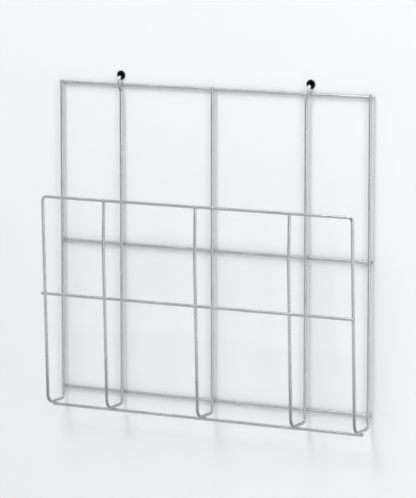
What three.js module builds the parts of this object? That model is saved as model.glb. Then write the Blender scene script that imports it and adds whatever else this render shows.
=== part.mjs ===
// Wire paper holder that hangs on a wall: a shallow basket of welded steel wire, carried by two
// hooks in two black plastic bushes. Millimetres, +Z up, +X to the right, -Y towards the person in
// front of it. The wall's face is the plane y = 0, and the origin lies on it, midway between the
// two bushes' axes. Heights are therefore given as drops below the hooks.

import * as THREE from 'three';

// Wire and welds
const wireDiameter = 2.5;
const weldGap = 0.1;
const railOverhang = 0.8;
const endStub = 1.0;
const wallGap = 0.3;

// Overall shape, between wire centres. Apart from the top rail's drop, heights are from the bends
// under the pocket.
const holderWidth = 270;
const innerWirePitch = 81;
const topRailDrop = 7.5;
const topRailHeight = 255;
const backMiddleHeight = 128.5;
const backBottomHeight = 9.5;
const frontTopHeight = 167;
const frontMiddleHeight = 89.5;
const pocketDepthBottom = 24.5;
const pocketDepthTop = 31;
const bottomRailSetForward = 13;

// Bends, measured to the wire's centre
const pocketFrontBendRadius = 8;
const pocketBackBendRadius = 4;
const frontCornerRadius = 3.5;
const hookBendRadius = 3;
const setBendRadius = 6;
const lapBendRadius = 30;

// The inner wires' front ends, which lap behind the front top rail
const lapLength = 40;
const lapEndShort = 0.6;

// Hooks and the bushes that carry them
const hookPitch = 166;
const hookSetLength = 5;
const hookReach = 12;
const wallHoleDiameter = 6.35;
const bushWall = 0.5;
const bushFlangeRim = 0.5;
const bushFlangeThickness = 0.8;
const bushLength = 14;
const bushLeadIn = 0.3;
const hookRunningGap = 0.3;

// Facets
const wireSides = 12;
const bushSides = 32;
const stepsPerQuarterBend = 8;
const leastStepsPerBend = 2;

// Planes and heights that follow from the sizes above
const wireRadius = wireDiameter / 2;
const wireLayer = wireDiameter + weldGap;
const backRailY = -(wallGap + wireRadius);
const backWireY = backRailY - wireLayer;
const frontBottomY = backWireY - pocketDepthBottom;
const frontTopY = backWireY - pocketDepthTop;
const bendDrop = topRailDrop + topRailHeight;
const frontTopDrop = bendDrop - frontTopHeight;
const frontMiddleDrop = bendDrop - frontMiddleHeight;
const frontLean = Math.atan2(frontBottomY - frontTopY, frontTopHeight);
const frontLayer = wireLayer / Math.cos(frontLean);
const sideX = holderWidth / 2;
const railLength = holderWidth + wireDiameter + 2 * railOverhang;
const bushBoreRadius = wallHoleDiameter / 2 - bushWall;
const hookLegZ = -(bushBoreRadius - wireRadius - hookRunningGap);
const hookSetSideways = hookPitch / 2 - innerWirePitch;

/** Y of the front wires' centre at a drop below the hooks. */
function frontWireY(drop) {
  return frontTopY + (drop - frontTopDrop) * Math.tan(frontLean);
}

const wireSteel = new THREE.MeshStandardMaterial({ color: 0xb4b9bc, roughness: 0.32, metalness: 0.9 });
const bushPlastic = new THREE.MeshStandardMaterial({ color: 0x141414, roughness: 0.5, metalness: 0 });

/**
 * The centre line of a bent wire, as stations (a point and the direction there). Straight
 * stretches have a station at each end only, and each bend has several.
 */
class WirePath extends THREE.Curve {
  constructor(stations) {
    super();
    this.stations = stations;
  }

  station(t) {
    return this.stations[Math.round(t * (this.stations.length - 1))];
  }

  getPoint(t, target = new THREE.Vector3()) {
    return target.copy(this.station(t).point);
  }

  getTangent(t, target = new THREE.Vector3()) {
    return target.copy(this.station(t).direction);
  }

  getPointAt(u, target) {
    return this.getPoint(u, target);
  }

  getTangentAt(u, target) {
    return this.getTangent(u, target);
  }
}

/** Stations round one corner: an arc of the given radius that touches both straight stretches. */
function bendStations(before, corner, after, radius) {
  const arriving = corner.clone().sub(before).normalize();
  const leaving = after.clone().sub(corner).normalize();
  const angle = arriving.angleTo(leaving);
  const inward = leaving.clone().addScaledVector(arriving, -arriving.dot(leaving)).normalize();
  const start = corner.clone().addScaledVector(arriving, -radius * Math.tan(angle / 2));
  const centre = start.clone().addScaledVector(inward, radius);
  const quarters = angle / (Math.PI / 2);
  const steps = Math.max(leastStepsPerBend, Math.ceil(quarters * stepsPerQuarterBend));
  const stations = [];
  for (let i = 0; i <= steps; i++) {
    const turned = (angle * i) / steps;
    const point = centre.clone();
    point.addScaledVector(inward, -radius * Math.cos(turned));
    point.addScaledVector(arriving, radius * Math.sin(turned));
    const direction = arriving.clone().multiplyScalar(Math.cos(turned));
    direction.addScaledVector(inward, Math.sin(turned));
    stations.push({ point, direction });
  }
  return stations;
}

/** Round wire through the given corners, each [x, y, z, bend radius]. The ends have no radius. */
function bentWire(corners) {
  const points = corners.map(([x, y, z]) => new THREE.Vector3(x, y, z));
  const last = points.length - 1;
  const startDirection = points[1].clone().sub(points[0]).normalize();
  const endDirection = points[last].clone().sub(points[last - 1]).normalize();
  const stations = [{ point: points[0], direction: startDirection }];
  for (let i = 1; i < last; i++) {
    const radius = corners[i][3];
    stations.push(...bendStations(points[i - 1], points[i], points[i + 1], radius));
  }
  stations.push({ point: points[last], direction: endDirection });

  const section = new THREE.Shape();
  section.absarc(0, 0, wireRadius, 0, 2 * Math.PI);
  return new THREE.ExtrudeGeometry(section, {
    extrudePath: new WirePath(stations),
    steps: stations.length - 1,
    curveSegments: wireSides,
  });
}

function addPart(parent, name, geometry, material) {
  const mesh = new THREE.Mesh(geometry, material);
  mesh.name = name;
  parent.add(mesh);
  return mesh;
}

/**
 * The outer wire: one length that starts at the back left, turns under the pocket, comes up the
 * front, runs along the basket's top edge and goes back the same way on the right.
 */
function basketFrameWire() {
  const backTop = -topRailDrop + wireRadius + endStub;
  return bentWire([
    [-sideX, backWireY, backTop],
    [-sideX, backWireY, -bendDrop, pocketBackBendRadius],
    [-sideX, frontBottomY, -bendDrop, pocketFrontBendRadius],
    [-sideX, frontTopY, -frontTopDrop, frontCornerRadius],
    [sideX, frontTopY, -frontTopDrop, frontCornerRadius],
    [sideX, frontBottomY, -bendDrop, pocketFrontBendRadius],
    [sideX, backWireY, -bendDrop, pocketBackBendRadius],
    [sideX, backWireY, backTop],
  ]);
}

/** Corners that the three inner wires share: from behind the front top rail, under the pocket. */
function pocketCorners() {
  const lapY = frontTopY + frontLayer;
  const lapEndDrop = frontTopDrop - wireRadius + lapEndShort;
  const lapFootDrop = frontTopDrop + lapLength;
  return [
    [0, lapY, -lapEndDrop],
    [0, lapY, -(frontTopDrop + wireRadius), lapBendRadius],
    [0, frontWireY(lapFootDrop), -lapFootDrop, lapBendRadius],
    [0, frontBottomY, -bendDrop, pocketFrontBendRadius],
    [0, backWireY, -bendDrop, pocketBackBendRadius],
  ];
}

/** The centre wire ends just above the back top rail. */
function centreWire() {
  return bentWire([...pocketCorners(), [0, backWireY, -topRailDrop + wireRadius + endStub]]);
}

/** A hook wire: set outwards at the top rail, then bent back as a straight leg for the bush. */
function hookWire(side) {
  const hookX = side * hookSetSideways;
  return bentWire([
    ...pocketCorners(),
    [0, backWireY, -(topRailDrop + hookSetLength), setBendRadius],
    [hookX, backWireY, -topRailDrop, setBendRadius],
    [hookX, backWireY, hookLegZ, hookBendRadius],
    [hookX, hookReach, hookLegZ],
  ]);
}

/** A straight cross wire, centred, at the given place. */
function addRail(parent, name, y, z) {
  const geometry = new THREE.CylinderGeometry(wireRadius, wireRadius, railLength, wireSides);
  const rail = addPart(parent, name, geometry, wireSteel);
  rail.rotation.z = Math.PI / 2;
  rail.position.set(0, y, z);
}

/** A flanged sleeve, turned about its own Y axis: the flange's back face lies at y = 0. */
function wallBush() {
  const bore = bushBoreRadius;
  const sleeve = wallHoleDiameter / 2;
  const flange = sleeve + bushFlangeRim;
  const profile = [
    [bore, bushLength],
    [bore, bushLeadIn - bushFlangeThickness],
    [bore + bushLeadIn, -bushFlangeThickness],
    [flange - bushLeadIn, -bushFlangeThickness],
    [flange, bushLeadIn - bushFlangeThickness],
    [flange, 0],
    [sleeve, 0],
    [sleeve, bushLength],
    [bore, bushLength],
  ];
  return new THREE.LatheGeometry(profile.map(([r, y]) => new THREE.Vector2(r, y)), bushSides);
}

const holder = new THREE.Group();

const rack = new THREE.Group();
holder.add(rack);
addPart(rack, 'basket_frame_wire', basketFrameWire(), wireSteel);
addPart(rack, 'centre_wire', centreWire(), wireSteel);
for (const [name, side] of [['left', -1], ['right', 1]]) {
  const wire = addPart(rack, `${name}_hook_wire`, hookWire(side), wireSteel);
  wire.position.x = side * innerWirePitch;
}

// The cross wires lie on the outside of the bent ones: towards the wall, below and in front.
addRail(rack, 'back_top_rail', backRailY, -topRailDrop);
addRail(rack, 'back_middle_rail', backRailY, backMiddleHeight - bendDrop);
addRail(rack, 'back_bottom_rail', backRailY, backBottomHeight - bendDrop);
addRail(rack, 'bottom_rail', backWireY - bottomRailSetForward, -(bendDrop + wireLayer));
addRail(rack, 'front_middle_rail', frontWireY(frontMiddleDrop) - frontLayer, -frontMiddleDrop);

const bushes = new THREE.Group();
holder.add(bushes);
for (const [name, side] of [['left', -1], ['right', 1]]) {
  const bush = addPart(bushes, `${name}_wall_bush`, wallBush(), bushPlastic);
  bush.position.x = (side * hookPitch) / 2;
}

export default holder;
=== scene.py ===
# Wire paper holder: nine plated steel wires, welded where they cross, hung in two black bushes.
# Metres, +Z up, +X to the right, -Y towards the viewer. The wall's face is the plane y = 0, and
# the origin lies on it, midway between the bushes' axes.
import math

import bpy
import numpy as np
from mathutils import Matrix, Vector


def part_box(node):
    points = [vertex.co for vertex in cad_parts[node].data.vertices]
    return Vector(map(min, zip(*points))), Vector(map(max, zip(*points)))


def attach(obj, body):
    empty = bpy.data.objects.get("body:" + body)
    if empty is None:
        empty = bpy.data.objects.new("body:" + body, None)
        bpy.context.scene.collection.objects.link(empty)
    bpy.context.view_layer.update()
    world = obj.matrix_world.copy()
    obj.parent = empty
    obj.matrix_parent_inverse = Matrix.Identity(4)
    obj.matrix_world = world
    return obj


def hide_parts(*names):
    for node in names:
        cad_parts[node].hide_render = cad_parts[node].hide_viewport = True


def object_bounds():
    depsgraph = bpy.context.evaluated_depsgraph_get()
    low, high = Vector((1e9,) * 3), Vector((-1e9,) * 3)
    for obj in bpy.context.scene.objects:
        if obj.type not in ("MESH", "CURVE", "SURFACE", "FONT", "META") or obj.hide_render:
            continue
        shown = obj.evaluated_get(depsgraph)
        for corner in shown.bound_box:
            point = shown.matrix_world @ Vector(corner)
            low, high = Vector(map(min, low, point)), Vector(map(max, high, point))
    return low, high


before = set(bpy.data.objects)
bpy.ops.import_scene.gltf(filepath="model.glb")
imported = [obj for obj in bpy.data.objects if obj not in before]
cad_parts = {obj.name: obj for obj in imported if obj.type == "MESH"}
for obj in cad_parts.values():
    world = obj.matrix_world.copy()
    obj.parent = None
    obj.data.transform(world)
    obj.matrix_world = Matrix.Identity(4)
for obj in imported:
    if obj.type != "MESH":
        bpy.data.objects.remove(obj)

MM = 0.001
CAD_LOW, CAD_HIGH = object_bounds()
MIDDLE = (CAD_LOW + CAD_HIGH) / 2

# Sizes that the solids' boxes don't tell
WELD_GAP = 0.1 * MM
POCKET_DEPTH_BOTTOM = 24.5 * MM
FRONT_TOP_HEIGHT = 167 * MM
FRONT_BEND = 8 * MM
BACK_BEND = 4 * MM
FRONT_CORNER = 3.5 * MM
HOOK_BEND = 3 * MM
SET_BEND = 6 * MM
LAP_BEND = 30 * MM
LAP_LENGTH = 40 * MM
LAP_END_SHORT = 0.6 * MM
SET_LENGTH = 5 * MM
HOOK_LEG_Z = -1.125 * MM
INNER_WIRE_X = 81 * MM
BUSH_BORE = 2.675 * MM
BUSH_RIM = 0.5 * MM

# Finish of the wires: sheared ends with a soft edge, flats where the weld's electrodes pressed,
# a painted highlight on the hooks from the top rail on, painted shade on the feet's forward and
# lower side under the front bends, and a little painted shade on the front's cross wires
SHEARED_EDGE = 0.28 * MM
SHEAR_SLOPE = 0.12
FLAT_DEPTH = 0.14 * MM
FLAT_REACH = 2.2 * MM
HEAT_REACH = 3.5 * MM
HIGHLIGHT_FADE = 2.5 * MM
FOOT_SHADE_HEIGHT = 60 * MM
FOOT_SHADE_FADE = 3 * MM
FOOT_SHADE_SIDE = (0, -1.0, -0.6)
FRONT_SHADE = 0.1

# Fineness of the wires' meshes
STATION_SPACING = 0.7 * MM
LEAST_STRAIGHT_STEPS = 2
LEAST_BEND_STEPS = 6
TUBE_SIDES = 28
EDGE_STEPS = 4

# Welds: half the foot's length and breadth, the waist's radius, the farthest that a foot reaches
# round its wire as a share of the wire's radius, and how much one weld differs from another
WELD_LENGTH = 1.5 * MM
WELD_BREADTH = 1.05 * MM
WELD_WAIST = 0.9 * MM
WELD_REACH = 0.95
WELD_RIPPLES = (0.07, 0.05)
WELD_SIZES = (0.92, 1.06)
WELD_SEED = 11
WELD_ROWS = 15
WELD_SIDES = 28

# Bushes: the flange's lead-in, the sleeve's chamfers and the fillets of the moulding's edges
LEAD_IN = 0.3 * MM
CHAMFER = 0.25 * MM
FLANGE_FILLET = 0.45 * MM
BORE_FILLET = 0.25 * MM
EDGE_FILLET = 0.1 * MM
BACK_FILLET = 0.05 * MM
BUSH_SIDES = 96
FILLET_STEPS = 6

# Sizes of the finishes' patterns. The materials' comments say which are drawn coarser than life.
DIE_LINE_WIDTH = 0.4 * MM
DIE_LINE_LENGTH = 30 * MM
CLOUD_WIDTH = 22 * MM
SCALE_GRAIN = 0.8 * MM
MOULD_GRAIN = 0.25 * MM
SCUFF_WIDTH = 3 * MM
RELIEF_DEPTH = 0.03 * MM

# Camera, lamps, surround and stage. A hole's cell is given by half its width, and the eye in the
# middle of the disc behind a bush by its share of the hole's radius.
CAMERA_PLACE = (1.1645, -2.228, 0.2357)
CAMERA_LENS = 235
KEY_DIRECTION = (-0.23, -1.0, 1.6)
KEY_DISTANCE = 1.7
KEY_SIZE = (0.55, 1.0)
KEY_POWER = 16
FILL_DIRECTION = (1.5, -1.1, 0.15)
FILL_DISTANCE = 1.2
FILL_SIZE = (0.33, 0.75)
FILL_POWER = 2.6
WORLD_LIGHT = 0.49
ROOM_DIRECTION = (0.41, -0.9, 0.1)
ROOM_EDGE = 0.3
ROOM_CORE = 0.95
FLOOR_Z = -0.5
STAGE_REACH = 4.0
WALL_TOP = 2.2
HOLE_CELL = 10 * MM
HOLE_SIDES = 64
HOLE_PLAY = 0.02 * MM
DISC_EYE = 0.01


def node_box(name):
    """The lowest and highest corner of a solid, as arrays."""
    low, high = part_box(name)
    return np.array(low), np.array(high)


# Places read from the solids
RAIL_LOW, RAIL_HIGH = node_box("back_top_rail")
RADIUS = (RAIL_HIGH[2] - RAIL_LOW[2]) / 2
LAYER = 2 * RADIUS + WELD_GAP
TOP_RAIL_Z = (RAIL_LOW[2] + RAIL_HIGH[2]) / 2
BACK_RAIL_Y = (RAIL_LOW[1] + RAIL_HIGH[1]) / 2
BACK_Y = BACK_RAIL_Y - LAYER
FRAME_LOW, FRAME_HIGH = node_box("basket_frame_wire")
SIDE_X = FRAME_HIGH[0] - RADIUS
BACK_TOP_Z = FRAME_HIGH[2]
BEND_Z = FRAME_LOW[2] + RADIUS
FRONT_TOP_Y = FRAME_LOW[1] + RADIUS
FRONT_TOP_Z = BEND_Z + FRONT_TOP_HEIGHT
FRONT_BOTTOM_Y = BACK_Y - POCKET_DEPTH_BOTTOM
LEAN = math.atan2(FRONT_BOTTOM_Y - FRONT_TOP_Y, FRONT_TOP_HEIGHT)
FRONT_LAYER = LAYER / math.cos(LEAN)
HOOK_HIGH = node_box("right_hook_wire")[1]
HOOK_X = HOOK_HIGH[0] - RADIUS
HOOK_TIP_Y = HOOK_HIGH[1]
BUSH_LOW, BUSH_HIGH = node_box("right_wall_bush")
FLANGE_RADIUS = (BUSH_HIGH[2] - BUSH_LOW[2]) / 2
FLANGE_FRONT = BUSH_LOW[1]
BUSH_END = BUSH_HIGH[1]
SLEEVE_RADIUS = FLANGE_RADIUS - BUSH_RIM

# Directions
RIGHT = np.array([1.0, 0, 0])
INTO_WALL = np.array([0, 1.0, 0])
UP = np.array([0, 0, 1.0])
OUT_OF_FRONT = np.array([0, -math.cos(LEAN), -math.sin(LEAN)])


def front_y(z):
    """Y of the front wires' centre line at a height: a straight line up from the bends."""
    return FRONT_BOTTOM_Y - (z - BEND_Z) * math.tan(LEAN)


def unit(vector):
    """The vector divided by its length."""
    return vector / np.linalg.norm(vector)


def turned(vector, axis, angles):
    """The vector turned about the axis: v cos a + (k x v) sin a + k (k . v)(1 - cos a)."""
    a = np.asarray(angles)[:, None]
    across = np.cross(axis, vector)
    return vector * np.cos(a) + across * np.sin(a) + axis * (axis @ vector) * (1 - np.cos(a))


class Line:
    """A wire's centre line: places, directions and untwisted side vectors against length."""

    def __init__(self, place, side):
        self.places = [np.array([place])]
        self.directions = []
        self.sides = [np.array([side])]

    def straight(self, end):
        """Evenly spaced stations up to the end, all with the same direction and side."""
        start = self.places[-1][-1]
        direction = unit(end - start)
        side = self.sides[-1][-1]
        steps = math.ceil(np.linalg.norm(end - start) / STATION_SPACING)
        count = max(LEAST_STRAIGHT_STEPS, steps)
        share = np.linspace(0, 1, count + 1)[1:, None]
        if not self.directions:
            self.directions.append(direction[None])
        self.places.append(start + (end - start) * share)
        self.directions.append(np.repeat(direction[None], count, 0))
        self.sides.append(np.repeat(side[None], count, 0))

    def bend(self, axis, angle, radius):
        """An arc: places, directions and sides turn about the axis through the arc's centre."""
        start = self.places[-1][-1]
        direction = self.directions[-1][-1]
        spoke = -radius * np.cross(axis, direction)
        count = max(LEAST_BEND_STEPS, math.ceil(radius * angle / STATION_SPACING))
        angles = np.linspace(0, angle, count + 1)[1:]
        self.places.append(start - spoke + turned(spoke, axis, angles))
        self.directions.append(turned(direction, axis, angles))
        self.sides.append(turned(self.sides[-1][-1], axis, angles))

    def finish(self):
        """Joins the stretches and measures the length from the first station."""
        self.place = np.concatenate(self.places)
        self.direction = np.concatenate(self.directions)
        self.side = np.concatenate(self.sides)
        steps = np.linalg.norm(np.diff(self.place, axis=0), axis=1)
        self.length = np.concatenate([[0], np.cumsum(steps)])
        return self

    def at(self, length, values):
        """Values of the stations, drawn out to other lengths."""
        return np.stack([np.interp(length, self.length, column) for column in values.T], 1)

    def nearest(self, place):
        """Length at which the line comes nearest to a place."""
        return self.length[np.argmin(np.linalg.norm(self.place - place, axis=1))]


def bent_line(corners, side):
    """The line through corners (place, bend radius): straight stretches, and an arc at each inner
    corner that starts radius * tan(half the turn) before it."""
    places = [np.array(place, float) for place, _ in corners]
    line = Line(places[0], side)
    for i in range(1, len(places) - 1):
        arriving = unit(places[i] - places[i - 1])
        leaving = unit(places[i + 1] - places[i])
        angle = math.acos(arriving @ leaving)
        radius = corners[i][1]
        line.straight(places[i] - arriving * radius * math.tan(angle / 2))
        line.bend(unit(np.cross(arriving, leaving)), angle, radius)
    line.straight(places[-1])
    return line.finish()


def flattened(rows):
    """One row of values for each vertex of a closed grid whose first and last rows are poles."""
    inner = rows[1:-1].reshape(-1, rows.shape[-1])
    return np.concatenate([rows[0, :1], inner, rows[-1, :1]])


def ring_quads(row_count, side_count):
    """Quads between each ring of a grid and the next, row by row."""
    ring = np.arange(row_count - 1)[:, None] * side_count
    here = np.arange(side_count)
    after = (here + 1) % side_count
    return np.stack([ring + here, ring + after, ring + side_count + after,
                     ring + side_count + here], -1).reshape(-1, 4)


def capped_faces(row_count, side_count, first):
    """Quads between the inner rows and fans round the two poles, all facing outwards, for a grid
    whose first pole is the given vertex."""
    inner = row_count - 2
    quads = first + 1 + ring_quads(inner, side_count)
    here = np.arange(side_count)
    after = (here + 1) % side_count
    near_ring = first + 1
    far_ring = near_ring + (inner - 1) * side_count
    far_pole = np.full_like(here, near_ring + inner * side_count)
    near_fan = np.stack([np.full_like(here, first), near_ring + after, near_ring + here], -1)
    far_fan = np.stack([far_ring + here, far_ring + after, far_pole], -1)
    return quads.tolist() + near_fan.tolist() + far_fan.tolist()


def add_mesh(name, vertices, faces, smooth=True):
    """An object at the origin from an array of vertices and a list of faces."""
    mesh = bpy.data.meshes.new(name)
    mesh.from_pydata(vertices.tolist(), [], faces)
    if smooth:
        mesh.shade_smooth()
    piece = bpy.data.objects.new(name, mesh)
    bpy.context.scene.collection.objects.link(piece)
    return piece


def add_vectors(piece, name, values):
    """Puts one vector for each vertex on the piece, for its material to read."""
    attribute = piece.data.attributes.new(name, "FLOAT_VECTOR", "POINT")
    attribute.data.foreach_set("vector", np.asarray(values, np.float32).ravel())


def add_steel(name, patches):
    """A mesh of closed grids. Each patch is (places, places on the wire before it was bent,
    finish), and a finish is (heat of the weld, painted highlight, painted shade), each from 0 to
    1."""
    vertices, drawn, finishes, faces, start = [], [], [], [], 0
    for places, straight_places, finish in patches:
        vertices.append(flattened(places))
        drawn.append(flattened(straight_places))
        finishes.append(flattened(finish))
        faces += capped_faces(*places.shape[:2], start)
        start += len(vertices[-1])
    piece = add_mesh(name, np.concatenate(vertices), faces)
    add_vectors(piece, "drawn_wire", np.concatenate(drawn))
    add_vectors(piece, "wire_finish_and_painted_light", np.concatenate(finishes))
    return piece


def ring_lengths(whole):
    """Lengths and radii of the rings of a sheared wire: a pole, a flat face, a quarter round
    edge, the even stretch between, and the same again at the far end."""
    turn = np.linspace(math.pi / 2, 0, EDGE_STEPS)
    edge_length = SHEARED_EDGE * (1 - np.sin(turn))
    edge_radius = RADIUS - SHEARED_EDGE * (1 - np.cos(turn))
    count = math.ceil(whole / STATION_SPACING)
    middle = np.linspace(SHEARED_EDGE, whole - SHEARED_EDGE, count)[1:-1]
    face = np.array([0, RADIUS / 2])
    start = np.concatenate([np.zeros(2), edge_length])
    start_radius = np.concatenate([face, edge_radius])
    lengths = np.concatenate([start, middle, whole - start[::-1]])
    radii = np.concatenate([start_radius, np.full(len(middle), RADIUS), start_radius[::-1]])
    return lengths, radii


def shear(lengths, across, whole):
    """How far each point near an end is drawn back: the slope times its distance from the sheared
    edge's leading side, fading out over one wire's diameter."""
    back = SHEAR_SLOPE * (RADIUS - across)
    near_start = np.clip(1 - lengths / (2 * RADIUS), 0, 1)[:, None]
    near_end = np.clip(1 - (whole - lengths) / (2 * RADIUS), 0, 1)[:, None]
    return back * near_start - back * near_end


def painted_foot_shade(places, offset):
    """Painted shade on the wires' feet: most under the front bends, fading evenly with height and
    towards the back, and only on the side that faces forwards and down."""
    low = 1 - (places[..., 2] - BEND_Z) / FOOT_SHADE_HEIGHT
    front = (FRONT_BOTTOM_Y + FRONT_BEND - places[..., 1]) / FOOT_SHADE_FADE
    facing = offset @ unit(np.array(FOOT_SHADE_SIDE)) / RADIUS
    return np.clip(low, 0, 1) * np.clip(front, 0, 1) * np.clip(facing, 0, 1)


def painted_front_shade(places, direction):
    """Painted shade on the front's cross wires: evenly by a little, and only where a
    wire runs sideways in the front half of the pocket."""
    in_front = places[..., 1] < (BACK_Y + FRONT_BOTTOM_Y) / 2
    return FRONT_SHADE * np.abs(direction @ RIGHT)[:, None] * in_front


def wire_patch(line, welds, highlight_start):
    """The wire's surface: centre + radius (side cos a + other sin a), with both ends sheared, and
    with a flat at each weld, given as (place, direction away from the other wire). The weld's
    heat is exp(-(distance / reach) ** 2), and the painted highlight rises evenly from 0 at its
    start."""
    whole = line.length[-1]
    lengths, radii = ring_lengths(whole)
    angle = np.arange(TUBE_SIDES) * 2 * math.pi / TUBE_SIDES
    centre = line.at(lengths, line.place)
    direction = line.at(lengths, line.direction)
    side = line.at(lengths, line.side)
    other = np.cross(direction, side)
    across = radii[:, None] * np.cos(angle)
    along_other = radii[:, None] * np.sin(angle)
    offset = across[..., None] * side[:, None] + along_other[..., None] * other[:, None]
    heat = np.zeros(len(lengths))
    for place, outward in welds:
        distance = lengths - line.nearest(place)
        depth = FLAT_DEPTH * np.clip(1 - (distance / FLAT_REACH) ** 2, 0, 1)
        above = offset @ outward - (RADIUS - depth)[:, None]
        offset = offset - np.clip(above, 0, None)[..., None] * outward
        heat = np.maximum(heat, np.exp(-(distance / HEAT_REACH) ** 2))
    drawn_back = shear(lengths, across, whole)
    places = centre[:, None] + offset + drawn_back[..., None] * direction[:, None]
    along = np.repeat(lengths[:, None], TUBE_SIDES, 1)
    straight_places = np.stack([across, along_other, along], -1)
    # Painted highlight on the hooks, rising evenly from its start to full strength.
    hook_painted_highlight = np.clip((lengths - highlight_start) / HIGHLIGHT_FADE, 0, 1)
    heat, hook_painted_highlight = (np.repeat(values[:, None], TUBE_SIDES, 1) for values in (heat, hook_painted_highlight))
    # Painted shade: the stronger of the feet's and the front cross wires' shade, as a share from
    # 0 to 1.
    scuffs_and_painted_shade = np.maximum(painted_foot_shade(places, offset), painted_front_shade(places, direction))
    return places, straight_places, np.stack([heat, hook_painted_highlight, scuffs_and_painted_shade], -1)


def oval(angle, along, across):
    """Radius of an ellipse at an angle from its long axis."""
    return 1 / np.sqrt((np.cos(angle) / along) ** 2 + (np.sin(angle) / across) ** 2)


def weld_patch(place, along_a, towards_b, rng):
    """The metal squeezed out between two crossing wires: a waisted neck from an oval foot on one
    wire to an oval foot on the other, closed by poles inside both wires. Its radius is
    waist + (foot - waist) * (distance from the middle) ** 2, and its height runs from one wire's
    surface to the other's. Two waves round it and its size make each weld differ. Its finish is
    the weld's full heat."""
    along_b = np.cross(towards_b, along_a)
    angle = np.arange(WELD_SIDES) * 2 * math.pi / WELD_SIDES
    phases = rng.uniform(0, 2 * math.pi, 2)
    two_waves = WELD_RIPPLES[0] * np.cos(2 * angle + phases[0])
    three_waves = WELD_RIPPLES[1] * np.cos(3 * angle + phases[1])
    ripple = 1 + two_waves + three_waves
    size = rng.uniform(*WELD_SIZES)
    foot_a = oval(angle, WELD_LENGTH, WELD_BREADTH) * ripple * size
    foot_b = oval(angle - math.pi / 2, WELD_LENGTH, WELD_BREADTH) * ripple * size
    reach_a = np.clip(np.abs(foot_a * np.sin(angle)), 0, WELD_REACH * RADIUS)
    reach_b = np.clip(np.abs(foot_b * np.cos(angle)), 0, WELD_REACH * RADIUS)
    surface_a = -LAYER / 2 + np.sqrt(RADIUS ** 2 - reach_a ** 2)
    surface_b = LAYER / 2 - np.sqrt(RADIUS ** 2 - reach_b ** 2)
    share = np.linspace(0, 1, WELD_ROWS)[:, None]
    from_middle = (2 * share - 1) ** 2
    foot = np.where(share < 0.5, foot_a, foot_b)
    waist = WELD_WAIST * ripple * size
    radius = waist + (foot - waist) * from_middle
    height = surface_a + (surface_b - surface_a) * share
    rows = [np.zeros(WELD_SIDES), *radius, np.zeros(WELD_SIDES)]
    heights = [np.full(WELD_SIDES, -LAYER / 2), *height, np.full(WELD_SIDES, LAYER / 2)]
    radius = np.array(rows)[..., None]
    spoke = np.cos(angle)[:, None] * along_a + np.sin(angle)[:, None] * along_b
    places = place + radius * spoke + np.array(heights)[..., None] * towards_b
    return places, places - place, np.broadcast_to([1.0, 0, 0], places.shape)


def pocket_corners(x):
    """The inner wires' corners: from behind the front top edge down, and under the pocket."""
    lap_y = FRONT_TOP_Y + FRONT_LAYER
    lap_foot_z = FRONT_TOP_Z - LAP_LENGTH
    return [
        ((x, lap_y, FRONT_TOP_Z + RADIUS - LAP_END_SHORT), 0),
        ((x, lap_y, FRONT_TOP_Z - RADIUS), LAP_BEND),
        ((x, front_y(lap_foot_z), lap_foot_z), LAP_BEND),
        ((x, FRONT_BOTTOM_Y, BEND_Z), FRONT_BEND),
        ((x, BACK_Y, BEND_Z), BACK_BEND),
    ]


def frame_line():
    """The outer wire's line: up the front at both sides and along the basket's top edge."""
    return bent_line([
        ((-SIDE_X, BACK_Y, BACK_TOP_Z), 0),
        ((-SIDE_X, BACK_Y, BEND_Z), BACK_BEND),
        ((-SIDE_X, FRONT_BOTTOM_Y, BEND_Z), FRONT_BEND),
        ((-SIDE_X, FRONT_TOP_Y, FRONT_TOP_Z), FRONT_CORNER),
        ((SIDE_X, FRONT_TOP_Y, FRONT_TOP_Z), FRONT_CORNER),
        ((SIDE_X, FRONT_BOTTOM_Y, BEND_Z), FRONT_BEND),
        ((SIDE_X, BACK_Y, BEND_Z), BACK_BEND),
        ((SIDE_X, BACK_Y, BACK_TOP_Z), 0),
    ], RIGHT)


def centre_line():
    """The centre wire's line, which ends just above the back top rail."""
    return bent_line([*pocket_corners(0), ((0, BACK_Y, BACK_TOP_Z), 0)], RIGHT)


def hook_line(side):
    """An inner wire's line with its set outwards at the top rail, and the leg into the bush."""
    x, hook_x = side * INNER_WIRE_X, side * HOOK_X
    return bent_line([
        *pocket_corners(x),
        ((x, BACK_Y, TOP_RAIL_Z - SET_LENGTH), SET_BEND),
        ((hook_x, BACK_Y, TOP_RAIL_Z), SET_BEND),
        ((hook_x, BACK_Y, HOOK_LEG_Z), HOOK_BEND),
        ((hook_x, HOOK_TIP_Y, HOOK_LEG_Z), 0),
    ], RIGHT)


def rail_middle(name):
    """The middle of a cross wire's box."""
    low, high = node_box(name)
    return (low + high) / 2


def rail_line(name):
    """A cross wire's line, along the middle of its solid's box."""
    low, high = node_box(name)
    y, z = rail_middle(name)[1:]
    return bent_line([((low[0], y, z), 0), ((high[0], y, z), 0)], UP)


# Every wire's x at the rails, by its name. The hook wires stand further out at the top rail.
WIRE_X = {
    "basket_frame_wire": (-SIDE_X, SIDE_X),
    "left_hook_wire": (-INNER_WIRE_X,),
    "centre_wire": (0,),
    "right_hook_wire": (INNER_WIRE_X,),
}
# The direction from each rail towards the bent wires that it is welded to
TOWARDS_WIRES = {
    "back_top_rail": -INTO_WALL,
    "back_middle_rail": -INTO_WALL,
    "back_bottom_rail": -INTO_WALL,
    "bottom_rail": UP,
    "front_middle_rail": -OUT_OF_FRONT,
}


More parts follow.
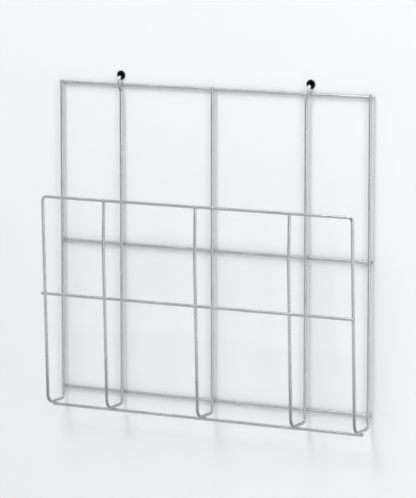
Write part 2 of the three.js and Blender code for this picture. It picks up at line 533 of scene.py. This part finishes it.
def crossings():
    """Every weld as (rail, wire, the middle of the gap between them, direction rail to wire)."""
    found = []
    for rail, towards in TOWARDS_WIRES.items():
        middle = rail_middle(rail)
        for wire, places_x in WIRE_X.items():
            for x in places_x:
                if rail == "back_top_rail" and "hook" in wire:
                    x = math.copysign(HOOK_X, x)
                gap = np.array([x, *middle[1:]]) + towards * LAYER / 2
                found.append((rail, wire, gap, towards))
    for wire, places_x in WIRE_X.items():
        if wire != "basket_frame_wire":
            gap = np.array([places_x[0], FRONT_TOP_Y, FRONT_TOP_Z]) + INTO_WALL * LAYER / 2
            found.append(("basket_frame_wire", wire, gap, INTO_WALL))
    return found


CROSSINGS = crossings()


def welds_on(name):
    """Places on the named wire's centre line that are welded, each with the direction away from
    the wire on its other side."""
    found = []
    for rail, wire, gap, towards in CROSSINGS:
        if name == rail:
            found.append((gap - towards * LAYER / 2, -towards))
        if name == wire:
            found.append((gap + towards * LAYER / 2, towards))
    return found


def linear(colour, alpha=1.0):
    """A colour written as sRGB hex, turned to linear values."""
    shares = [int(colour[i:i + 2], 16) / 255 for i in (1, 3, 5)]
    return (*[s / 12.92 if s <= 0.04045 else ((s + 0.055) / 1.055) ** 2.4 for s in shares], alpha)


def add_node(tree, kind, inputs=(), **settings):
    """Adds a node, sets its properties, and sets or links its sockets, as (socket, value)."""
    node = tree.nodes.new(kind)
    for name, value in settings.items():
        setattr(node, name, value)
    for name, value in inputs:
        if isinstance(value, bpy.types.NodeSocket):
            tree.links.new(value, node.inputs[name])
        else:
            node.inputs[name].default_value = value
    return node


def new_material(name):
    """A material with only its output node."""
    material = bpy.data.materials.new(name)
    material.use_nodes = True
    material.node_tree.nodes.clear()
    return material, material.node_tree


def nickel_plated_wire():
    """Bright nickel plate over cold drawn mild steel wire: a grey mirror muted by the die's
    lines, which run along the wire, by a clouded plating, and by scale under the plate at each
    weld. The hooks carry a painted highlight, and the feet and the front painted shade."""
    material, tree = new_material("nickel_plated_wire")
    drawn = add_node(tree, "ShaderNodeAttribute", attribute_name="drawn_wire")
    finish = add_node(tree, "ShaderNodeAttribute", attribute_name="wire_finish_and_painted_light")
    # The weld's heat, the hooks' painted highlight and the painted shade, in x, y and z.
    weld_heat_and_painted_light = add_node(tree, "ShaderNodeSeparateXYZ", [("Vector", finish.outputs["Vector"])])
    heat, hook_painted_highlight, scuffs_and_painted_shade = (weld_heat_and_painted_light.outputs[axis] for axis in "XYZ")
    place = add_node(tree, "ShaderNodeTexCoord")
    # Die lines are some hundredths of a millimetre wide, and are drawn 0.4 mm wide so as to show.
    across, along = 1 / DIE_LINE_WIDTH, 1 / DIE_LINE_LENGTH
    stretched = add_node(tree, "ShaderNodeMapping", [("Vector", drawn.outputs["Vector"]),
                                                     ("Scale", (across, across, along))])
    lines = add_node(tree, "ShaderNodeTexNoise",
                     [("Vector", stretched.outputs["Vector"]), ("Scale", 1.0), ("Detail", 3.0)])
    # Clouds in the plating are a few centimetres wide.
    clouds = add_node(tree, "ShaderNodeTexNoise",
                      [("Vector", place.outputs["Object"]), ("Scale", 1 / CLOUD_WIDTH),
                       ("Detail", 2.0)])
    # Weld scale has a grain of about 0.1 mm, and is drawn 0.8 mm wide so as to show.
    grains = add_node(tree, "ShaderNodeTexNoise",
                      [("Vector", place.outputs["Object"]), ("Scale", 1 / SCALE_GRAIN),
                       ("Detail", 3.0)])
    plate = add_node(tree, "ShaderNodeMix",
                     [("Factor", clouds.outputs["Fac"]), ("A", linear("#bebfc1")),
                      ("B", linear("#cccdcf"))], data_type="RGBA")
    streak = add_node(tree, "ShaderNodeMapRange",
                      [("Value", lines.outputs["Fac"]), ("From Min", 0.3), ("From Max", 0.7),
                       ("To Min", 0.88), ("To Max", 1.04)])
    streaked = add_node(tree, "ShaderNodeMix",
                        [("Factor", 1.0), ("A", plate.outputs["Result"]),
                         ("B", streak.outputs["Result"])],
                        data_type="RGBA", blend_type="MULTIPLY")
    scale = add_node(tree, "ShaderNodeMath",
                     [(0, heat), (1, grains.outputs["Fac"])], operation="MULTIPLY")
    scaled = add_node(tree, "ShaderNodeMix",
                      [("Factor", scale.outputs["Value"]), ("A", streaked.outputs["Result"]),
                       ("B", linear("#c4c3c1"))], data_type="RGBA")
    # Painted shade: the feet and the front's cross wires are darkened towards a dark grey.
    with_painted_shade = add_node(tree, "ShaderNodeMix",
                      [("Factor", scuffs_and_painted_shade), ("A", scaled.outputs["Result"]),
                       ("B", linear("#767678"))], data_type="RGBA")
    # Painted highlight: the hooks are brightened towards near white from the top rail on.
    colour = add_node(tree, "ShaderNodeMix",
                      [("Factor", hook_painted_highlight), ("A", with_painted_shade.outputs["Result"]),
                       ("B", linear("#e4e4e3"))], data_type="RGBA")
    dullness = add_node(tree, "ShaderNodeMapRange",
                        [("Value", clouds.outputs["Fac"]), ("From Min", 0.3), ("From Max", 0.7),
                         ("To Min", 0.2), ("To Max", 0.3)])
    # Scale makes the plate up to 0.2 rougher.
    roughness = add_node(tree, "ShaderNodeMath",
                         [(0, scale.outputs["Value"]), (1, 0.2), (2, dullness.outputs["Result"])],
                         operation="MULTIPLY_ADD")
    relief = add_node(tree, "ShaderNodeMath",
                      [(0, heat), (1, grains.outputs["Fac"]), (2, lines.outputs["Fac"])],
                      operation="MULTIPLY_ADD")
    bump = add_node(tree, "ShaderNodeBump",
                    [("Strength", 0.35), ("Distance", RELIEF_DEPTH),
                     ("Height", relief.outputs["Value"])])
    shader = add_node(tree, "ShaderNodeBsdfPrincipled",
                      [("Base Color", colour.outputs["Result"]), ("Metallic", 1.0),
                       ("Roughness", roughness.outputs["Value"]),
                       ("Normal", bump.outputs["Normal"])])
    add_node(tree, "ShaderNodeOutputMaterial", [("Surface", shader.outputs["BSDF"])])
    return material


def black_moulded_nylon():
    """Black nylon, injection moulded: a soft sheen on the fine grain of a spark-eroded mould."""
    material, tree = new_material("black_moulded_nylon")
    place = add_node(tree, "ShaderNodeTexCoord")
    # The mould's grain is about 0.05 mm, and is drawn 0.25 mm wide so as to show.
    grain = add_node(tree, "ShaderNodeTexNoise",
                     [("Vector", place.outputs["Object"]), ("Scale", 1 / MOULD_GRAIN),
                      ("Detail", 2.0)])
    # Scuffs from handling are a few millimetres wide.
    scuffs_and_painted_shade = add_node(tree, "ShaderNodeTexNoise",
                      [("Vector", place.outputs["Object"]), ("Scale", 1 / SCUFF_WIDTH),
                       ("Detail", 4.0)])
    colour = add_node(tree, "ShaderNodeMix",
                      [("Factor", scuffs_and_painted_shade.outputs["Fac"]), ("A", linear("#0e0e0f")),
                       ("B", linear("#20201f"))], data_type="RGBA")
    sheen = add_node(tree, "ShaderNodeMapRange",
                     [("Value", scuffs_and_painted_shade.outputs["Fac"]), ("From Min", 0.3), ("From Max", 0.7),
                      ("To Min", 0.4), ("To Max", 0.55)])
    bump = add_node(tree, "ShaderNodeBump",
                    [("Strength", 0.3), ("Distance", RELIEF_DEPTH),
                     ("Height", grain.outputs["Fac"])])
    shader = add_node(tree, "ShaderNodeBsdfPrincipled",
                      [("Base Color", colour.outputs["Result"]),
                       ("Roughness", sheen.outputs["Result"]),
                       ("IOR", 1.53), ("Normal", bump.outputs["Normal"])])
    add_node(tree, "ShaderNodeOutputMaterial", [("Surface", shader.outputs["BSDF"])])
    return material


def pale_paint(name, colour, even_to_camera, even_to_metal):
    """Plain matt paint for the stage, seen from its front only: from behind it is clear. The
    camera and the metal see it mixed with its own even colour by the given shares, which lights
    nothing."""
    material, tree = new_material(name)
    side = add_node(tree, "ShaderNodeNewGeometry")
    path = add_node(tree, "ShaderNodeLightPath")
    paint = add_node(tree, "ShaderNodeBsdfDiffuse", [("Color", linear(colour))])
    even = add_node(tree, "ShaderNodeEmission", [("Color", linear(colour)), ("Strength", 1.0)])
    clear = add_node(tree, "ShaderNodeBsdfTransparent")
    camera_share = add_node(tree, "ShaderNodeMath",
                            [(0, path.outputs["Is Camera Ray"]), (1, even_to_camera)],
                            operation="MULTIPLY")
    share = add_node(tree, "ShaderNodeMath",
                     [(0, path.outputs["Is Glossy Ray"]), (1, even_to_metal),
                      (2, camera_share.outputs["Value"])], operation="MULTIPLY_ADD")
    lit = add_node(tree, "ShaderNodeMixShader",
                   [("Fac", share.outputs["Value"]), (1, paint.outputs["BSDF"]),
                    (2, even.outputs["Emission"])])
    shader = add_node(tree, "ShaderNodeMixShader",
                      [("Fac", side.outputs["Backfacing"]), (1, lit.outputs["Shader"]),
                       (2, clear.outputs["BSDF"])])
    add_node(tree, "ShaderNodeOutputMaterial", [("Surface", shader.outputs["Shader"])])
    return material


def dress(piece, body, node, material):
    """Puts a finished piece on its body, in place of its solid where one is named."""
    piece.data.materials.append(material)
    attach(piece, body)
    if node:
        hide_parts(node)


def make_wires(steel):
    """One piece for each wire. The hook wires carry a painted highlight from the top rail on."""
    lines = {
        "basket_frame_wire": frame_line(),
        "centre_wire": centre_line(),
        "left_hook_wire": hook_line(-1),
        "right_hook_wire": hook_line(1),
    }
    for rail in TOWARDS_WIRES:
        lines[rail] = rail_line(rail)
    for name, line in lines.items():
        # Where the painted highlight starts: at the line's end, so nowhere, except on the hook
        # wires just above the top rail.
        highlight_start = line.length[-1]
        if "hook" in name:
            above_rail = (0, BACK_Y, TOP_RAIL_Z + RADIUS)
            highlight_start = line.nearest(line.place[-1] * RIGHT + above_rail)
        piece = add_steel(name + "_plated", [wire_patch(line, welds_on(name), highlight_start)])
        dress(piece, "wire_rack", name, steel)


def make_welds(steel):
    """One piece for each rail's welds. Each weld differs a little, by a fixed seed."""
    rng = np.random.default_rng(WELD_SEED)
    for rail in [*TOWARDS_WIRES, "basket_frame_wire"]:
        patches = []
        for name, _, gap, towards in CROSSINGS:
            if name == rail:
                patches.append(weld_patch(gap, RIGHT, towards, rng))
        title = "front_top_edge" if rail == "basket_frame_wire" else rail
        dress(add_steel(title + "_welds", patches), "wire_rack", None, steel)


def rounded(corners):
    """A closed outline from corners (y, r, fillet): each corner is an arc of its fillet's radius
    between the two straight edges, from tangent point to tangent point."""
    outline = []
    count = len(corners)
    for i in range(count):
        before, here, after = (np.array(corners[(i + k) % count][:2]) for k in (-1, 0, 1))
        fillet = corners[i][2]
        arriving, leaving = unit(here - before), unit(after - here)
        angle = math.acos(np.clip(arriving @ leaving, -1, 1))
        if fillet == 0 or angle == 0:
            outline.append(here[None])
            continue
        inward = unit(leaving - arriving)
        centre = here + inward * fillet / math.cos(angle / 2)
        share = np.linspace(-1, 1, FILLET_STEPS)[:, None] * angle / 2
        sweep = unit(arriving + leaving)
        outline.append(centre - inward * fillet * np.cos(share) + sweep * fillet * np.sin(share))
    return np.concatenate(outline)


def make_bush(name, x, nylon):
    """A flanged sleeve: its outline, turned about the line along Y through the hole's middle."""
    outline = rounded([
        (BUSH_END, BUSH_BORE + CHAMFER, EDGE_FILLET),
        (BUSH_END - CHAMFER, BUSH_BORE, EDGE_FILLET),
        (FLANGE_FRONT + LEAD_IN, BUSH_BORE, BORE_FILLET),
        (FLANGE_FRONT, BUSH_BORE + LEAD_IN, EDGE_FILLET),
        (FLANGE_FRONT, FLANGE_RADIUS, FLANGE_FILLET),
        (0, FLANGE_RADIUS, BACK_FILLET),
        (0, SLEEVE_RADIUS, 0),
        (BUSH_END - CHAMFER, SLEEVE_RADIUS, EDGE_FILLET),
        (BUSH_END, SLEEVE_RADIUS - CHAMFER, EDGE_FILLET),
    ])
    angle = np.arange(BUSH_SIDES) * 2 * math.pi / BUSH_SIDES
    y = np.repeat(outline[:, :1], BUSH_SIDES, 1)
    radius = outline[:, 1:]
    places = np.stack([x + radius * np.cos(angle), y, radius * np.sin(angle)], -1)
    rows, sides = places.shape[:2]
    row, side = np.meshgrid(np.arange(rows), np.arange(sides), indexing="ij")
    next_row, next_side = (row + 1) % rows, (side + 1) % sides
    faces = np.stack([row * sides + side, next_row * sides + side,
                      next_row * sides + next_side, row * sides + next_side], -1).reshape(-1, 4)
    piece = add_mesh(name + "_moulded", places.reshape(-1, 3), faces.tolist())
    dress(piece, "wall_bushes", name, nylon)


def wall_grid():
    """The wall's face as a grid of cells, without the two cells that hold a hole."""
    xs = [-STAGE_REACH, -HOOK_X - HOLE_CELL, -HOOK_X + HOLE_CELL,
          HOOK_X - HOLE_CELL, HOOK_X + HOLE_CELL, STAGE_REACH]
    zs = [FLOOR_Z, -HOLE_CELL, HOLE_CELL, WALL_TOP]
    x, z = np.meshgrid(xs, zs)
    corner = np.arange(x.size).reshape(x.shape)
    cells = np.stack([corner[:-1, :-1], corner[:-1, 1:], corner[1:, 1:], corner[1:, :-1]], -1)
    plain = np.ones(cells.shape[:2], bool)
    # The holes are in the second and fourth cells of the middle row.
    plain[1, [1, 3]] = False
    return np.stack([x, 0 * x, z], -1).reshape(-1, 3), cells[plain]


def wall_hole(x):
    """What fills a hole's cell: a ring that narrows from the square cell, whose edge is at its
    half width / max(|cos a|, |sin a|), to the hole's circle, and a disc behind the bush's end.
    Of the rows square, hole, deep hole and disc's eye, the second and third aren't joined."""
    angle = np.arange(HOLE_SIDES) * 2 * math.pi / HOLE_SIDES
    spoke = np.stack([np.cos(angle), 0 * angle, np.sin(angle)], -1)
    square = HOLE_CELL / np.abs(spoke).max(-1)
    hole = np.full(HOLE_SIDES, SLEEVE_RADIUS + HOLE_PLAY)
    radius = np.stack([square, hole, hole, DISC_EYE * hole])[..., None]
    depth = np.array([0, 0, 1, 1])[:, None, None] * (BUSH_END + HOLE_PLAY) * INTO_WALL
    places = x * RIGHT + radius * spoke + depth
    quads = ring_quads(len(radius), HOLE_SIDES)
    joined = np.concatenate([quads[:HOLE_SIDES], quads[2 * HOLE_SIDES:]])
    return places.reshape(-1, 3), joined


def make_stage():
    """The wall with its two holes, seen from the viewer's side only, and the floor."""
    vertices, faces = wall_grid()
    for x in (-HOOK_X, HOOK_X):
        places, quads = wall_hole(x)
        faces = np.concatenate([faces, quads + len(vertices)])
        vertices = np.concatenate([vertices, places])
    wall = add_mesh("stage_wall", vertices, faces.tolist(), smooth=False)
    paint = pale_paint("pale_wall", "#f1f2f3", even_to_camera=0.0, even_to_metal=0.0)
    wall.data.materials.append(paint)
    reach = STAGE_REACH
    corners = np.array([(-reach, -reach, FLOOR_Z), (reach, -reach, FLOOR_Z),
                        (reach, reach, FLOOR_Z), (-reach, reach, FLOOR_Z)])
    floor = add_mesh("stage_floor", corners, [(0, 1, 2, 3)], smooth=False)
    paint = pale_paint("pale_floor", "#eff0f2", even_to_camera=1.0, even_to_metal=0.45)
    floor.data.materials.append(paint)


def add_lamp(name, direction, distance, size, power):
    """A softbox of the given width and height that faces the holder's middle."""
    lamp = bpy.data.lights.new(name, "AREA")
    lamp.shape = "RECTANGLE"
    lamp.size, lamp.size_y = size
    lamp.energy = power
    softbox = bpy.data.objects.new(name, lamp)
    towards = Vector(direction).normalized()
    softbox.location = MIDDLE + towards * distance
    softbox.rotation_euler = towards.to_track_quat("Z", "Y").to_euler()
    bpy.context.scene.collection.objects.link(softbox)


def make_world():
    """A plain pale surround, seen by the camera and by the metal, and dimmer as a light. The
    metal also sees a darker room in front, as bright wire does in a studio: its share rises
    smoothly as the cosine of the angle to the room's middle goes from its edge to its core."""
    world = bpy.data.worlds.new("pale_surround")
    bpy.context.scene.world = world
    world.use_nodes = True
    tree = world.node_tree
    tree.nodes.clear()
    path = add_node(tree, "ShaderNodeLightPath")
    direction = add_node(tree, "ShaderNodeTexCoord")
    cosine = add_node(tree, "ShaderNodeVectorMath",
                      [(0, direction.outputs["Generated"]), (1, ROOM_DIRECTION)],
                      operation="DOT_PRODUCT")
    room = add_node(tree, "ShaderNodeMapRange",
                    [("Value", cosine.outputs["Value"]), ("From Min", ROOM_EDGE),
                     ("From Max", ROOM_CORE)], interpolation_type="SMOOTHSTEP")
    room_share = add_node(tree, "ShaderNodeMath",
                          [(0, room.outputs["Result"]), (1, path.outputs["Is Glossy Ray"])],
                          operation="MULTIPLY")
    surround = add_node(tree, "ShaderNodeMix",
                        [("Factor", room_share.outputs["Value"]), ("A", linear("#eff0f2")),
                         ("B", linear("#5a5d61"))], data_type="RGBA")
    seen = add_node(tree, "ShaderNodeMath",
                    [(0, path.outputs["Is Camera Ray"]), (1, path.outputs["Is Glossy Ray"])],
                    operation="MAXIMUM")
    light = add_node(tree, "ShaderNodeBackground",
                     [("Color", linear("#ffffff")), ("Strength", WORLD_LIGHT)])
    pale = add_node(tree, "ShaderNodeBackground",
                    [("Color", surround.outputs["Result"]), ("Strength", 1.0)])
    mixed = add_node(tree, "ShaderNodeMixShader",
                     [("Fac", seen.outputs["Value"]), (1, light.outputs["Background"]),
                      (2, pale.outputs["Background"])])
    add_node(tree, "ShaderNodeOutputWorld", [("Surface", mixed.outputs["Shader"])])


def make_camera():
    """Stands where the photograph was taken from, and looks at the holder's middle."""
    lens = bpy.data.cameras.new("camera")
    lens.lens = CAMERA_LENS
    camera = bpy.data.objects.new("camera", lens)
    camera.location = CAMERA_PLACE
    away = Vector(CAMERA_PLACE) - MIDDLE
    camera.rotation_euler = away.to_track_quat("Z", "Y").to_euler()
    bpy.context.scene.collection.objects.link(camera)
    bpy.context.scene.camera = camera


make_camera()
make_world()
add_lamp("key_softbox", KEY_DIRECTION, KEY_DISTANCE, KEY_SIZE, KEY_POWER)
add_lamp("fill_softbox", FILL_DIRECTION, FILL_DISTANCE, FILL_SIZE, FILL_POWER)
make_stage()
STEEL = nickel_plated_wire()
NYLON = black_moulded_nylon()
make_wires(STEEL)
make_welds(STEEL)
for bush_name, bush_side in (("left_wall_bush", -1), ("right_wall_bush", 1)):
    make_bush(bush_name, bush_side * HOOK_X, NYLON)

bpy.context.scene.view_settings.view_transform = "Standard"
